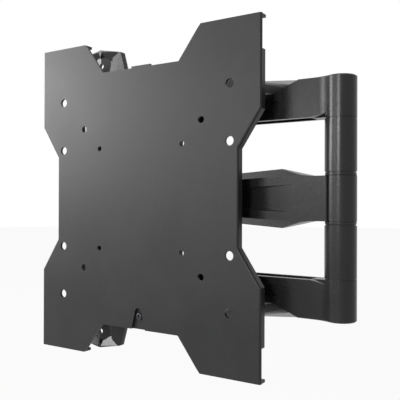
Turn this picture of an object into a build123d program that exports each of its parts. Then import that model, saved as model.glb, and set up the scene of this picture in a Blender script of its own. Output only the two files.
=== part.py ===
from build123d import *
import math
import os

os.makedirs("parts", exist_ok=True)

# Swivel television wall mount, folded against the wall.
# The origin is on the wall, at the centre of the wall bracket's back face.
# X runs to the right as the screen is watched, Y into the wall, Z up.
# Plane.XZ faces away from the wall, so its offset is a height above the wall.

# Folded mount
folded_depth = 70.0
seat_gap = 0.2
run_fit = 0.05
snug_fit = 0.01

# Wall bracket casting
bracket_peak = 170.8
bracket_corner = (31.2, 164.8)
bracket_shoulder = (36.4, 146.5)
bracket_side = (41.7, 128.0)
land_height = 6.5
floor_height = 1.8
spine_height = 4.8
trough_side = 14.9
trough_shoulder = (19.4, 159.5)
trough_corner = (27.7, 165.2)
trough_peak = (2.4, 168.4)
trough_tooth = 162.0
trough_draft = 2.6
trough_ramp = 9.0
lag_spacing = 304.8
lag_hole = 6.3
back_wall = 3.0
pocket_length = 44.0

# Wall pivot
pivot_height = 25.0
pivot_radius = 12.5
column_half = 66.2
web_half = 9.0
web_length = 116.0
pivot_shoulder = 10.0
pivot_thread = 8.0
thread_depth = 22.0
bush_wall = 2.0
bush_flange = 1.5
bush_flange_radius = 11.0
head_washer = 1.5
pivot_head_radius = 8.0
pivot_head_height = 4.6
cap_radius = 10.0
cap_height = 1.6
cap_proud = 0.3
key_depth = 2.6
thread_end = 2.5

# Elbow post
elbow_x = 293.2
elbow_height = 30.5
post_radius = 13.5
knuckle_bottom = 68.0
knuckle_top = 103.4
forearm_knuckle_half = 19.2
ring_thickness = 2.4
ring_radius = 13.2
shaft_radius = 8.0
shaft_end_radius = 6.0
elbow_bush_radius = 10.0
shaft_end_top = 91.7
knuckle_seat = 92.0
elbow_washer = 1.5
elbow_screw_radius = 3.0
elbow_screw_head = 7.0
elbow_screw_head_height = 4.0
elbow_screw_grip = 17.0
end_chamfer = 0.9
seam_width = 0.9
seam_depth = 0.8

# Wall arms
arm_front = 38.8
arm_root = 35.5
arm_back = 16.0
arm_inner = 69.7
arm_blend = 30.0
arm_flare_right = elbow_x - 34.7
arm_flare_apex = (176.0, 118.2)
arm_flare_knee = (elbow_x - 78.0, 110.4)
arm_flare_end = (elbow_x - 45.0, 107.7)
arm_flare_left = 22.0
facet_right = elbow_x - 59.0
facet_left = 46.0
facet_line = 92.9
channel_front_wall = 5.0
channel_back_wall = 3.0
channel_top = 91.0
channel_left = 24.0
channel_right = elbow_x - 25.0
slot_right = elbow_x - 54.2
slot_left = 62.0
slot_depth = 3.0
slot_ramp = 7.8
slot_height = 10.0
slot_middle = 81.5
notch_rise = 4.6
notch_length = 14.0

# Forearm
head_x = 107.2
head_height = 34.0
head_radius = 10.0
head_knuckle_half = 17.6
forearm_front = elbow_height + post_radius
forearm_wide = 32.0
forearm_back = 24.0
forearm_end = elbow_x - 7.0
forearm_kink = elbow_x - 21.3
face_tip = (elbow_x - 31.0, 20.1)
wide_apex = (elbow_x - 53.2, 26.4)
taper_end = head_x + 16.0
face_taper_half = 13.2
wide_taper_half = 18.4
face_round = 2.2
nose_drop = 4.0
nose_start = elbow_x - 90.0
recess_right = elbow_x - 39.5
recess_length = 64.0
recess_half = 11.8
recess_end_half = 6.5
recess_slope = 3.6
recess_draft = 34.0
forearm_wall = 3.5
forearm_skin = 6.0

# Swivel head
swivel_pin_radius = 4.0
swivel_bush_wall = 1.5
swivel_flange = 1.0
ear_inner = 18.9
ear_outer = 24.0
ear_radius = 11.5
head_web_back = 46.5
head_web_front = 50.5
roll_disc = 19.0
pin_head_radius = 6.5
pin_head_height = 3.0
nut_height = 5.0

# Tilt head
tilt_height = 59.0
tilt_base = 2.5
tilt_base_half = 20.0
tilt_ear_inner = 36.0
tilt_ear_outer = 39.0
tilt_ear_nose = 5.8
tilt_ear_root = 14.0
tilt_gap = 0.1
tilt_washer_thickness = 0.6
tilt_bolt_radius = 3.0
tilt_bolt_head = 5.5
tilt_bolt_head_height = 4.0
tilt_nut_flat = 10.0
roll_bolt_radius = 3.0
roll_bolt_head = 6.0
roll_bolt_head_height = 3.4
roll_washer_radius = 9.0
roll_washer_thickness = 1.2
roll_slot_radius = 14.5
roll_slot_width = 5.4
roll_screw_radius = 2.0
roll_screw_head = 3.8
roll_screw_head_height = 2.4
roll_travel = 5.0

# Television plate
plate_thickness = 2.5
plate_half_width = 130.5
plate_half_height = 157.0
waist_half_height = plate_half_height - 31.0
waist_half_width = 108.5
waist_corner = 46.0
ear_inner_corner = 66.5
ear_relief_corner = 70.0
ear_relief = 4.0
ear_outer_corner = 130.0
inner_corner_round = 10.0
side_kink = 76.0
side_waist = 43.0
side_flange_depth = 8.0
side_flange_half = waist_half_height + 1.0
end_flange_depth = 10.0
tab_inner = 17.0
tab_outer = 45.0
tab_depth = 8.0
bend_radius = 2.0
plate_notch_top = waist_half_height - 20.7
plate_notch_half = 3.9
plate_notch_mouth = 8.5
pattern_large = 200.0
pattern_small = 100.0
pattern_middle = 141.4
hole_large = 8.4
hole_middle = 6.6
hole_small = 5.0

# Hook bracket behind the television plate
sheet = 2.2
hook_half = 42.0
hook_top = waist_half_height - plate_thickness - seat_gap
hook_bottom = waist_half_height
hook_tab_half = 11.5
hook_tab_top = waist_half_height + 2.5
flange_long_half = 62.0
flange_long_depth = 56.0
flange_ear_half = 14.0
flange_ear_depth = 52.0
lock_screw_z = -plate_notch_top - 8.2
lock_screw_radius = 2.0
lock_head_radius = 3.5
lock_head_height = 2.1
lock_screw_tip = 61.0

# Values worked out from the ones above
plate_back = folded_depth - plate_thickness
hook_front = plate_back - seat_gap
hook_back = hook_front - sheet
tilt_base_back = head_web_front + seat_gap
tilt_base_front = tilt_base_back + tilt_base
flange_inner = hook_half - sheet
roll_seat = tilt_base_front + seat_gap
bush_radius = pivot_shoulder / 2 + bush_wall
washer_bottom = 95.8
counterbore_floor = washer_bottom - seat_gap - 0.1
sleeve_inner = forearm_knuckle_half + ring_thickness + 2 * seat_gap
trough_rim = [
    (trough_side, bracket_shoulder[1]),
    trough_shoulder,
    trough_corner,
    trough_peak,
    (0, trough_tooth),
]
floor_side = trough_side - trough_draft
trough_floor = [
    (floor_side, bracket_shoulder[1]),
    (trough_shoulder[0] - trough_draft, trough_shoulder[1] - trough_ramp / 2),
    (trough_corner[0] - trough_ramp, trough_corner[1] - trough_ramp),
    (trough_peak[0], trough_peak[1] - trough_ramp),
    (0, trough_tooth - trough_ramp / 2),
]


def mirrored(points):
    """Completes a right-hand quarter outline to the left and below."""
    left = [(-x, z) for x, z in reversed(points) if x > 0]
    upper = points + left
    lower = [(x, -z) for x, z in reversed(upper) if z > 0]
    return upper + lower


# Wall bracket: a gabled casting with a ridged trough, two lag holes and the hinge column
with BuildPart() as wall_bracket:
    with BuildSketch(Plane.XZ) as outline:
        Polygon(
            *mirrored([bracket_side, bracket_shoulder, bracket_corner, (0, bracket_peak)]),
            align=None,
        )
        fillet(outline.vertices().filter_by(lambda v: abs(v.X) > 1), radius=2.0)
    extrude(amount=land_height)
    chamfer(wall_bracket.faces().sort_by(Axis.Y)[0].edges(), length=0.6)
    with BuildSketch(Plane.XZ.offset(land_height)):
        Polygon(*mirrored(trough_rim), align=None)
    with BuildSketch(Plane.XZ.offset(floor_height)):
        Polygon(*mirrored(trough_floor), align=None)
    loft(ruled=True, mode=Mode.SUBTRACT)
    with BuildSketch(Plane.XY.offset(-trough_tooth)):
        Polygon(
            (-floor_side, -floor_height + 0.5),
            (-floor_side, -floor_height),
            (0, -spine_height),
            (floor_side, -floor_height),
            (floor_side, -floor_height + 0.5),
            align=None,
        )
    extrude(amount=2 * trough_tooth)
    with BuildSketch(Plane.XY.offset(-column_half)):
        with Locations((0, -pivot_height)):
            Circle(pivot_radius)
    extrude(amount=2 * column_half)
    column_ends = wall_bracket.edges().filter_by(GeomType.CIRCLE)
    chamfer(column_ends.filter_by(lambda e: abs(e.radius - pivot_radius) < 0.01), length=end_chamfer)
    with BuildSketch(Plane.XZ.offset(floor_height - 1)):
        Rectangle(2 * web_half, web_length)
    extrude(amount=pivot_height - floor_height)
    with BuildSketch(Plane.YZ.offset(-web_half / 2)):
        with BuildLine():
            Polyline(
                (-floor_height + 0.5, web_length / 2 - 2),
                (-pivot_height + 8, web_length / 2 - 2),
                (-floor_height + 0.5, web_length / 2 + 26),
                close=True,
            )
        make_face()
        mirror(about=Plane.XZ)
    extrude(amount=web_half)
    with BuildSketch(Plane.XZ):
        with Locations((0, lag_spacing / 2), (0, -lag_spacing / 2)):
            Circle(lag_hole / 2)
    extrude(amount=land_height, mode=Mode.SUBTRACT)
    with BuildSketch(Plane.XZ):
        with GridLocations(2 * (trough_side + bracket_side[0]) / 2, pocket_length + 6, 2, 5):
            RectangleRounded(bracket_side[0] - trough_side - 2 * back_wall, pocket_length, 3)
    extrude(amount=land_height - back_wall, mode=Mode.SUBTRACT)
    with Locations((0, -pivot_height, column_half), Location((0, -pivot_height, -column_half), (180, 0, 0))):
        Hole(pivot_thread / 2, depth=thread_depth)
wall_bracket.part.label = "wall_bracket"
export_step(wall_bracket.part, "parts/wall_bracket.step")

# Wall arms: open channels that flare towards the wall, the lower one a mirror image
facet_outer = [
    (arm_flare_left, knuckle_top),
    (facet_left, facet_line),
    (arm_flare_apex[0], facet_line),
    (arm_flare_knee[0], facet_line),
    (facet_right, facet_line),
    (arm_flare_right, knuckle_top),
]
rise_slope = (arm_flare_apex[1] - knuckle_top) / (arm_flare_apex[0] - arm_flare_left)
flare_outer = [
    (arm_flare_left, knuckle_top),
    (facet_left, knuckle_top + rise_slope * (facet_left - arm_flare_left)),
    arm_flare_apex,
    arm_flare_knee,
    arm_flare_end,
    (arm_flare_right, knuckle_top),
]
above_arm = [(arm_flare_right, knuckle_top + 20), (arm_flare_left, knuckle_top + 20)]

with BuildPart() as upper_arm:
    with BuildSketch(Plane.XY.offset(arm_inner)) as plan:
        Polygon(
            (0, -arm_root),
            (arm_flare_left, -arm_front),
            (elbow_x, -arm_front),
            (elbow_x, -arm_back),
            (0, -arm_back),
            align=None,
        )
        with Locations((elbow_x, -elbow_height)):
            Circle(post_radius)
        with Locations((0, -pivot_height)):
            Circle(pivot_radius)
        meeting = plan.vertices().filter_by(lambda v: abs(v.Y + arm_front) < 0.01)
        fillet(meeting.sort_by(Axis.X)[-1], radius=arm_blend)
    extrude(amount=knuckle_top - arm_inner)
    rounds = upper_arm.faces().sort_by(Axis.Z)[-1].edges().filter_by(GeomType.CIRCLE)
    chamfer(rounds.filter_by(lambda e: abs(e.radius - post_radius) < snug_fit), length=end_chamfer)
    with BuildSketch(Plane.XY.offset(knuckle_bottom)):
        with Locations((elbow_x, -elbow_height)):
            Circle(post_radius)
        with Locations((0, -pivot_height)):
            Circle(pivot_radius)
    extrude(amount=arm_inner - knuckle_bottom + 1)
    with BuildSketch(Plane.XZ.offset(arm_back)):
        Polygon(
            (arm_flare_left, arm_inner + 10),
            *flare_outer,
            (arm_flare_right, arm_inner + 10),
            align=None,
        )
    extrude(amount=arm_front - arm_back)
    with BuildSketch(Plane.XZ.offset(arm_front)):
        Polygon(*facet_outer, *above_arm, align=None)
    with BuildSketch(Plane.XZ.offset(arm_back)):
        Polygon(*flare_outer, *above_arm, align=None)
    loft(ruled=True, mode=Mode.SUBTRACT)
    with BuildSketch(Plane.XY.offset(arm_inner)):
        with Locations(
            (
                (channel_left + channel_right) / 2,
                -(arm_front - channel_front_wall + arm_back + channel_back_wall) / 2,
            )
        ):
            RectangleRounded(
                channel_right - channel_left,
                arm_front - channel_front_wall - arm_back - channel_back_wall,
                3,
            )
    extrude(amount=channel_top - arm_inner, mode=Mode.SUBTRACT)
    with BuildSketch(Plane.XY.offset(slot_middle - slot_height / 2)):
        Polygon(
            (slot_right, -arm_front),
            (slot_right - slot_ramp, -arm_front + slot_depth),
            (slot_left + slot_ramp, -arm_front + slot_depth),
            (slot_left, -arm_front),
            align=None,
        )
    extrude(amount=slot_height, mode=Mode.SUBTRACT)
    with BuildSketch(Plane.XZ.offset(elbow_height + 0.5)):
        Polygon(
            (elbow_x - 10 - notch_length, knuckle_bottom),
            (elbow_x - 10, knuckle_bottom),
            (elbow_x - 10, knuckle_bottom + notch_rise),
            (elbow_x - 10 - notch_length, arm_inner),
            align=None,
        )
    extrude(amount=post_radius, mode=Mode.SUBTRACT)
    with BuildSketch(Plane.XY.offset(knuckle_bottom)):
        with Locations((0, -pivot_height)):
            Circle(bush_radius)
        with Locations((elbow_x, -elbow_height)):
            Circle(shaft_end_radius + snug_fit)
    extrude(amount=knuckle_top - knuckle_bottom, mode=Mode.SUBTRACT)
    with BuildSketch(Plane.XY.offset(counterbore_floor)):
        with Locations((0, -pivot_height)):
            Circle(cap_radius)
    extrude(amount=knuckle_top, mode=Mode.SUBTRACT)
    with BuildSketch(Plane.XY.offset(knuckle_seat)):
        with Locations((elbow_x, -elbow_height)):
            Circle(cap_radius)
    extrude(amount=knuckle_top, mode=Mode.SUBTRACT)
upper_arm.part.label = "upper_arm"
export_step(upper_arm.part, "parts/upper_arm.step")

with BuildPart() as lower_arm:
    add(mirror(upper_arm.part, about=Plane.XY, mode=Mode.PRIVATE))
lower_arm.part.label = "lower_arm"
export_step(lower_arm.part, "parts/lower_arm.step")

# Wall pivots: nylon bushes in the arms, shoulder bolts in the hinge column
with BuildPart() as upper_pivot_bush:
    with BuildSketch(Plane.XY.offset(knuckle_bottom - bush_flange)):
        with Locations((0, -pivot_height)):
            Circle(bush_flange_radius)
    extrude(amount=bush_flange)
    with BuildSketch(Plane.XY.offset(knuckle_bottom)):
        with Locations((0, -pivot_height)):
            Circle(bush_radius - snug_fit)
    extrude(amount=counterbore_floor - knuckle_bottom)
    with Locations((0, -pivot_height, counterbore_floor)):
        Hole(pivot_shoulder / 2 + run_fit, depth=2 * knuckle_top)
upper_pivot_bush.part.label = "upper_pivot_bush"
export_step(upper_pivot_bush.part, "parts/upper_pivot_bush.step")

with BuildPart() as upper_pivot_washer:
    with BuildSketch(Plane.XY.offset(washer_bottom)):
        with Locations((0, -pivot_height)):
            Circle(cap_radius - 1)
            Circle(pivot_shoulder / 2 + snug_fit, mode=Mode.SUBTRACT)
    extrude(amount=head_washer)
upper_pivot_washer.part.label = "upper_pivot_washer"
export_step(upper_pivot_washer.part, "parts/upper_pivot_washer.step")

head_bottom = washer_bottom + head_washer
with BuildPart() as upper_pivot_bolt:
    with BuildSketch(Plane.XY.offset(column_half - thread_depth + 1)):
        with Locations((0, -pivot_height)):
            Circle(pivot_thread / 2 - snug_fit)
    extrude(amount=thread_depth)
    with BuildSketch(Plane.XY.offset(column_half)):
        with Locations((0, -pivot_height)):
            Circle(pivot_shoulder / 2)
    extrude(amount=head_bottom - column_half)
    with BuildSketch(Plane.XY.offset(head_bottom)):
        with Locations((0, -pivot_height)):
            Circle(pivot_head_radius)
    extrude(amount=pivot_head_height)
    fillet(upper_pivot_bolt.edges().sort_by(Axis.Z)[-1], radius=1.2)
    with BuildSketch(Plane.XY.offset(head_bottom + pivot_head_height)):
        with Locations((0, -pivot_height)):
            RegularPolygon(pivot_thread / 2 - 0.5, 6, major_radius=False)
    extrude(amount=-key_depth, mode=Mode.SUBTRACT)
upper_pivot_bolt.part.label = "upper_pivot_bolt"
export_step(upper_pivot_bolt.part, "parts/upper_pivot_bolt.step")

with BuildPart() as upper_pivot_cap:
    with BuildSketch(Plane.XY.offset(knuckle_top + cap_proud - cap_height)):
        with Locations((0, -pivot_height)):
            Circle(cap_radius - snug_fit)
    extrude(amount=cap_height)
    fillet(upper_pivot_cap.edges().sort_by(Axis.Z)[-1], radius=0.6)
upper_pivot_cap.part.label = "upper_pivot_cap"
export_step(upper_pivot_cap.part, "parts/upper_pivot_cap.step")

with BuildPart() as lower_pivot_bush:
    add(mirror(upper_pivot_bush.part, about=Plane.XY, mode=Mode.PRIVATE))
lower_pivot_bush.part.label = "lower_pivot_bush"
export_step(lower_pivot_bush.part, "parts/lower_pivot_bush.step")

with BuildPart() as lower_pivot_washer:
    add(mirror(upper_pivot_washer.part, about=Plane.XY, mode=Mode.PRIVATE))
lower_pivot_washer.part.label = "lower_pivot_washer"
export_step(lower_pivot_washer.part, "parts/lower_pivot_washer.step")

with BuildPart() as lower_pivot_bolt:
    add(mirror(upper_pivot_bolt.part, about=Plane.XY, mode=Mode.PRIVATE))
lower_pivot_bolt.part.label = "lower_pivot_bolt"
export_step(lower_pivot_bolt.part, "parts/lower_pivot_bolt.step")

with BuildPart() as lower_pivot_cap:
    add(mirror(upper_pivot_cap.part, about=Plane.XY, mode=Mode.PRIVATE))
lower_pivot_cap.part.label = "lower_pivot_cap"
export_step(lower_pivot_cap.part, "parts/lower_pivot_cap.step")

# Elbow post: one shaft carries the arms, two sleeves, two rings and the forearm
with BuildPart() as elbow_shaft:
    with BuildSketch(Plane.XY.offset(-shaft_end_top)):
        with Locations((elbow_x, -elbow_height)):
            Circle(shaft_end_radius)
    extrude(amount=2 * shaft_end_top)
    with BuildSketch(Plane.XY.offset(-knuckle_bottom)):
        with Locations((elbow_x, -elbow_height)):
            Circle(shaft_radius)
    extrude(amount=2 * knuckle_bottom)
    with Locations(
        (elbow_x, -elbow_height, shaft_end_top),
        Location((elbow_x, -elbow_height, -shaft_end_top), (180, 0, 0)),
    ):
        Hole(elbow_screw_radius, depth=elbow_screw_grip + 2)
elbow_shaft.part.label = "elbow_shaft"
export_step(elbow_shaft.part, "parts/elbow_shaft.step")

with BuildPart() as upper_sleeve:
    with BuildSketch(Plane.XY.offset(sleeve_inner)):
        with Locations((elbow_x, -elbow_height)):
            Circle(post_radius - seam_depth)
    extrude(amount=knuckle_bottom - sleeve_inner)
    with BuildSketch(Plane.XY.offset(sleeve_inner + seam_width)):
        with Locations((elbow_x, -elbow_height)):
            Circle(post_radius)
    extrude(amount=knuckle_bottom - sleeve_inner - 2 * seam_width)
    with BuildSketch(Plane.XY.offset(sleeve_inner)):
        with Locations((elbow_x, -elbow_height)):
            Circle(shaft_radius + snug_fit)
    extrude(amount=knuckle_bottom - sleeve_inner, mode=Mode.SUBTRACT)
upper_sleeve.part.label = "upper_sleeve"
export_step(upper_sleeve.part, "parts/upper_sleeve.step")

with BuildPart() as lower_sleeve:
    add(mirror(upper_sleeve.part, about=Plane.XY, mode=Mode.PRIVATE))
lower_sleeve.part.label = "lower_sleeve"
export_step(lower_sleeve.part, "parts/lower_sleeve.step")

with BuildPart() as upper_elbow_ring:
    with BuildSketch(Plane.XY.offset(forearm_knuckle_half + seat_gap)):
        with Locations((elbow_x, -elbow_height)):
            Circle(ring_radius)
            Circle(shaft_radius + snug_fit, mode=Mode.SUBTRACT)
    extrude(amount=ring_thickness)
    ring_rims = upper_elbow_ring.edges().filter_by(GeomType.CIRCLE)
    fillet(ring_rims.filter_by(lambda e: e.radius > shaft_radius + 1), radius=0.4)
upper_elbow_ring.part.label = "upper_elbow_ring"
export_step(upper_elbow_ring.part, "parts/upper_elbow_ring.step")

with BuildPart() as lower_elbow_ring:
    add(mirror(upper_elbow_ring.part, about=Plane.XY, mode=Mode.PRIVATE))
lower_elbow_ring.part.label = "lower_elbow_ring"
export_step(lower_elbow_ring.part, "parts/lower_elbow_ring.step")

with BuildPart() as upper_elbow_bush:
    with BuildSketch(Plane.XY.offset(1)):
        with Locations((elbow_x, -elbow_height)):
            Circle(elbow_bush_radius - snug_fit)
            Circle(shaft_radius + run_fit, mode=Mode.SUBTRACT)
    extrude(amount=forearm_knuckle_half - 1)
upper_elbow_bush.part.label = "upper_elbow_bush"
export_step(upper_elbow_bush.part, "parts/upper_elbow_bush.step")

with BuildPart() as lower_elbow_bush:
    add(mirror(upper_elbow_bush.part, about=Plane.XY, mode=Mode.PRIVATE))
lower_elbow_bush.part.label = "lower_elbow_bush"
export_step(lower_elbow_bush.part, "parts/lower_elbow_bush.step")

with BuildPart() as upper_elbow_washer:
    with BuildSketch(Plane.XY.offset(knuckle_seat)):
        with Locations((elbow_x, -elbow_height)):
            Circle(cap_radius - 1)
            Circle(elbow_screw_radius + snug_fit, mode=Mode.SUBTRACT)
    extrude(amount=elbow_washer)
upper_elbow_washer.part.label = "upper_elbow_washer"
export_step(upper_elbow_washer.part, "parts/upper_elbow_washer.step")

screw_seat = knuckle_seat + elbow_washer
with BuildPart() as upper_elbow_screw:
    with BuildSketch(Plane.XY.offset(screw_seat - elbow_screw_grip)):
        with Locations((elbow_x, -elbow_height)):
            Circle(elbow_screw_radius - snug_fit)
    extrude(amount=elbow_screw_grip)
    with BuildSketch(Plane.XY.offset(screw_seat)):
        with Locations((elbow_x, -elbow_height)):
            Circle(elbow_screw_head)
    extrude(amount=elbow_screw_head_height)
    fillet(upper_elbow_screw.edges().sort_by(Axis.Z)[-1], radius=1.2)
    with BuildSketch(Plane.XY.offset(screw_seat + elbow_screw_head_height)):
        with Locations((elbow_x, -elbow_height)):
            RegularPolygon(elbow_screw_radius - 0.5, 6, major_radius=False)
    extrude(amount=-key_depth, mode=Mode.SUBTRACT)
upper_elbow_screw.part.label = "upper_elbow_screw"
export_step(upper_elbow_screw.part, "parts/upper_elbow_screw.step")

with BuildPart() as upper_elbow_cap:
    with BuildSketch(Plane.XY.offset(knuckle_top + cap_proud - cap_height)):
        with Locations((elbow_x, -elbow_height)):
            Circle(cap_radius - snug_fit)
    extrude(amount=cap_height)
    fillet(upper_elbow_cap.edges().sort_by(Axis.Z)[-1], radius=0.6)
upper_elbow_cap.part.label = "upper_elbow_cap"
export_step(upper_elbow_cap.part, "parts/upper_elbow_cap.step")

with BuildPart() as lower_elbow_washer:
    add(mirror(upper_elbow_washer.part, about=Plane.XY, mode=Mode.PRIVATE))
lower_elbow_washer.part.label = "lower_elbow_washer"
export_step(lower_elbow_washer.part, "parts/lower_elbow_washer.step")

with BuildPart() as lower_elbow_screw:
    add(mirror(upper_elbow_screw.part, about=Plane.XY, mode=Mode.PRIVATE))
lower_elbow_screw.part.label = "lower_elbow_screw"
export_step(lower_elbow_screw.part, "parts/lower_elbow_screw.step")

with BuildPart() as lower_elbow_cap:
    add(mirror(upper_elbow_cap.part, about=Plane.XY, mode=Mode.PRIVATE))
lower_elbow_cap.part.label = "lower_elbow_cap"
export_step(lower_elbow_cap.part, "parts/lower_elbow_cap.step")

# Forearm: a hexagonal flare with a ramped recess, hollow at the back for cables
face_half = [
    (forearm_end, forearm_knuckle_half),
    (forearm_kink, forearm_knuckle_half),
    face_tip,
    (taper_end, face_taper_half),
    (head_x, face_taper_half),
]
wide_half = [
    (forearm_end, forearm_knuckle_half),
    (forearm_kink, forearm_knuckle_half),
    wide_apex,
    (taper_end, wide_taper_half),
    (head_x, wide_taper_half),
]
pocket_half = [
    (wide_apex[0] + 20, forearm_knuckle_half - forearm_wall),
    (wide_apex[0], wide_apex[1] - forearm_wall),
    (taper_end + 12, wide_taper_half - forearm_wall),
]


def both_sides(points):
    """Completes an upper edge with the same edge below."""
    return points + [(x, -z) for x, z in reversed(points)]


with BuildPart() as forearm:
    with BuildSketch(Plane.XZ.offset(forearm_front)):
        Polygon(*both_sides(face_half), align=None)
    with BuildSketch(Plane.XZ.offset(forearm_wide)):
        Polygon(*both_sides(wide_half), align=None)
    loft(ruled=True)
    fillet(forearm.edges().filter_by(Axis.Z).sort_by(Axis.X)[-2:].sort_by(Axis.Y)[0], radius=face_round)
    with BuildSketch(Plane.XZ.offset(forearm_wide)):
        Polygon(*both_sides(wide_half), align=None)
    extrude(amount=forearm_back - forearm_wide)
    with BuildSketch(Plane.XY.offset(-forearm_knuckle_half)):
        with Locations((elbow_x, -elbow_height)):
            Circle(post_radius)
    extrude(amount=2 * forearm_knuckle_half)
    with BuildSketch(Plane.XY.offset(-wide_apex[1])):
        Polygon(
            (nose_start, -forearm_front),
            (head_x - 2 * head_radius, -forearm_front + nose_drop),
            (head_x - 2 * head_radius, -forearm_front - 4),
            (nose_start, -forearm_front - 4),
            align=None,
        )
    extrude(amount=2 * wide_apex[1], mode=Mode.SUBTRACT)
    with BuildSketch(Plane.XY.offset(-wide_apex[1])):
        Rectangle(4 * head_x, 4 * head_x)
        with BuildLine():
            Polyline(
                (head_x, -head_height - head_radius),
                (2 * head_x, -head_height - head_radius - 10),
                (4 * head_x, -head_height - head_radius - 10),
                (4 * head_x, 0),
                (head_x, -head_height + head_radius),
            )
            ThreePointArc(
                (head_x, -head_height + head_radius),
                (head_x - head_radius, -head_height),
                (head_x, -head_height - head_radius),
            )
        make_face(mode=Mode.SUBTRACT)
    extrude(amount=2 * wide_apex[1], mode=Mode.SUBTRACT)
    with BuildSketch(Plane.XY.offset(-head_knuckle_half)):
        with Locations((head_x, -head_height)):
            Circle(head_radius)
    extrude(amount=2 * head_knuckle_half)
    with BuildSketch(Plane.XY.offset(head_knuckle_half)):
        with Locations((head_x, -head_height)):
            Circle(ear_radius + 1.5)
    extrude(amount=wide_apex[1] - head_knuckle_half, mode=Mode.SUBTRACT)
    with BuildSketch(Plane.XY.offset(-head_knuckle_half)):
        with Locations((head_x, -head_height)):
            Circle(ear_radius + 1.5)
    extrude(amount=-(wide_apex[1] - head_knuckle_half), mode=Mode.SUBTRACT)
    with BuildSketch(Plane.XZ.offset(forearm_back)):
        Polygon(*both_sides(pocket_half), align=None)
    extrude(amount=forearm_front - forearm_skin - forearm_back, taper=3, mode=Mode.SUBTRACT)
    ramp = Plane(
        origin=(recess_right, -forearm_front, 0),
        x_dir=(-math.cos(math.radians(recess_slope)), math.sin(math.radians(recess_slope)), 0),
        z_dir=(-math.sin(math.radians(recess_slope)), -math.cos(math.radians(recess_slope)), 0),
    )
    with BuildSketch(ramp):
        Polygon(
            (0, recess_half),
            (recess_length, recess_end_half),
            (recess_length, -recess_end_half),
            (0, -recess_half),
            align=None,
        )
    extrude(amount=forearm_skin, taper=-recess_draft, mode=Mode.SUBTRACT)
    with BuildSketch(Plane.XY.offset(-forearm_knuckle_half)):
        with Locations((elbow_x, -elbow_height)):
            Circle(elbow_bush_radius)
        with Locations((head_x, -head_height)):
            Circle(swivel_pin_radius + swivel_bush_wall)
    extrude(amount=2 * forearm_knuckle_half, mode=Mode.SUBTRACT)
forearm.part.label = "forearm"
export_step(forearm.part, "parts/forearm.step")

# Swivel head: a clevis on the forearm's nose, turning on one upright pin
with BuildPart() as upper_swivel_bush:
    with BuildSketch(Plane.XY.offset(1)):
        with Locations((head_x, -head_height)):
            Circle(swivel_pin_radius + swivel_bush_wall - snug_fit)
    extrude(amount=head_knuckle_half - 1)
    with BuildSketch(Plane.XY.offset(head_knuckle_half)):
        with Locations((head_x, -head_height)):
            Circle(head_radius - 1)
    extrude(amount=swivel_flange)
    with Locations((head_x, -head_height, head_knuckle_half + swivel_flange)):
        Hole(swivel_pin_radius + run_fit, depth=2 * head_knuckle_half)
upper_swivel_bush.part.label = "upper_swivel_bush"
export_step(upper_swivel_bush.part, "parts/upper_swivel_bush.step")

with BuildPart() as lower_swivel_bush:
    add(mirror(upper_swivel_bush.part, about=Plane.XY, mode=Mode.PRIVATE))
lower_swivel_bush.part.label = "lower_swivel_bush"
export_step(lower_swivel_bush.part, "parts/lower_swivel_bush.step")

with BuildPart() as swivel_head:
    with BuildSketch(Plane.XY.offset(-ear_outer)):
        with Locations((head_x, -head_height)):
            Circle(ear_radius)
        with Locations((head_x, -(head_height + head_web_front) / 2)):
            Rectangle(2 * ear_radius, head_web_front - head_height)
    extrude(amount=2 * ear_outer)
    with BuildSketch(Plane.XY.offset(-ear_inner)):
        with Locations((head_x, -head_web_back / 2)):
            Rectangle(4 * ear_radius, head_web_back)
    extrude(amount=2 * ear_inner, mode=Mode.SUBTRACT)
    with BuildSketch(Plane.XZ.offset(head_web_back)):
        with Locations((head_x, 0)):
            Circle(roll_disc)
    extrude(amount=head_web_front - head_web_back)
    with Locations((head_x, -head_height, ear_outer)):
        Hole(swivel_pin_radius + snug_fit, depth=2 * ear_outer)
    with BuildSketch(Plane.XZ.offset(head_web_back)):
        with Locations((head_x, 0)):
            Circle(roll_bolt_radius)
        with Locations((head_x - roll_slot_radius, 0), (head_x + roll_slot_radius, 0)):
            Circle(roll_screw_radius)
    extrude(amount=head_web_front - head_web_back, mode=Mode.SUBTRACT)
swivel_head.part.label = "swivel_head"
export_step(swivel_head.part, "parts/swivel_head.step")

with BuildPart() as swivel_pin:
    with BuildSketch(Plane.XY.offset(-ear_outer - nut_height - thread_end)):
        with Locations((head_x, -head_height)):
            Circle(swivel_pin_radius)
    extrude(amount=2 * ear_outer + nut_height + thread_end)
    chamfer(swivel_pin.edges().sort_by(Axis.Z)[0], length=0.5)
    with BuildSketch(Plane.XY.offset(ear_outer)):
        with Locations((head_x, -head_height)):
            Circle(pin_head_radius)
    extrude(amount=pin_head_height)
    fillet(swivel_pin.edges().sort_by(Axis.Z)[-1], radius=1)
    with BuildSketch(Plane.XY.offset(ear_outer + pin_head_height)):
        with Locations((head_x, -head_height)):
            RegularPolygon(swivel_pin_radius - 1.5, 6, major_radius=False)
    extrude(amount=-key_depth, mode=Mode.SUBTRACT)
swivel_pin.part.label = "swivel_pin"
export_step(swivel_pin.part, "parts/swivel_pin.step")

with BuildPart() as swivel_nut:
    with BuildSketch(Plane.XY.offset(-ear_outer - nut_height)):
        with Locations((head_x, -head_height)):
            RegularPolygon(pin_head_radius, 6, major_radius=False)
            Circle(swivel_pin_radius + snug_fit, mode=Mode.SUBTRACT)
    extrude(amount=nut_height)
swivel_nut.part.label = "swivel_nut"
export_step(swivel_nut.part, "parts/swivel_nut.step")

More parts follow.
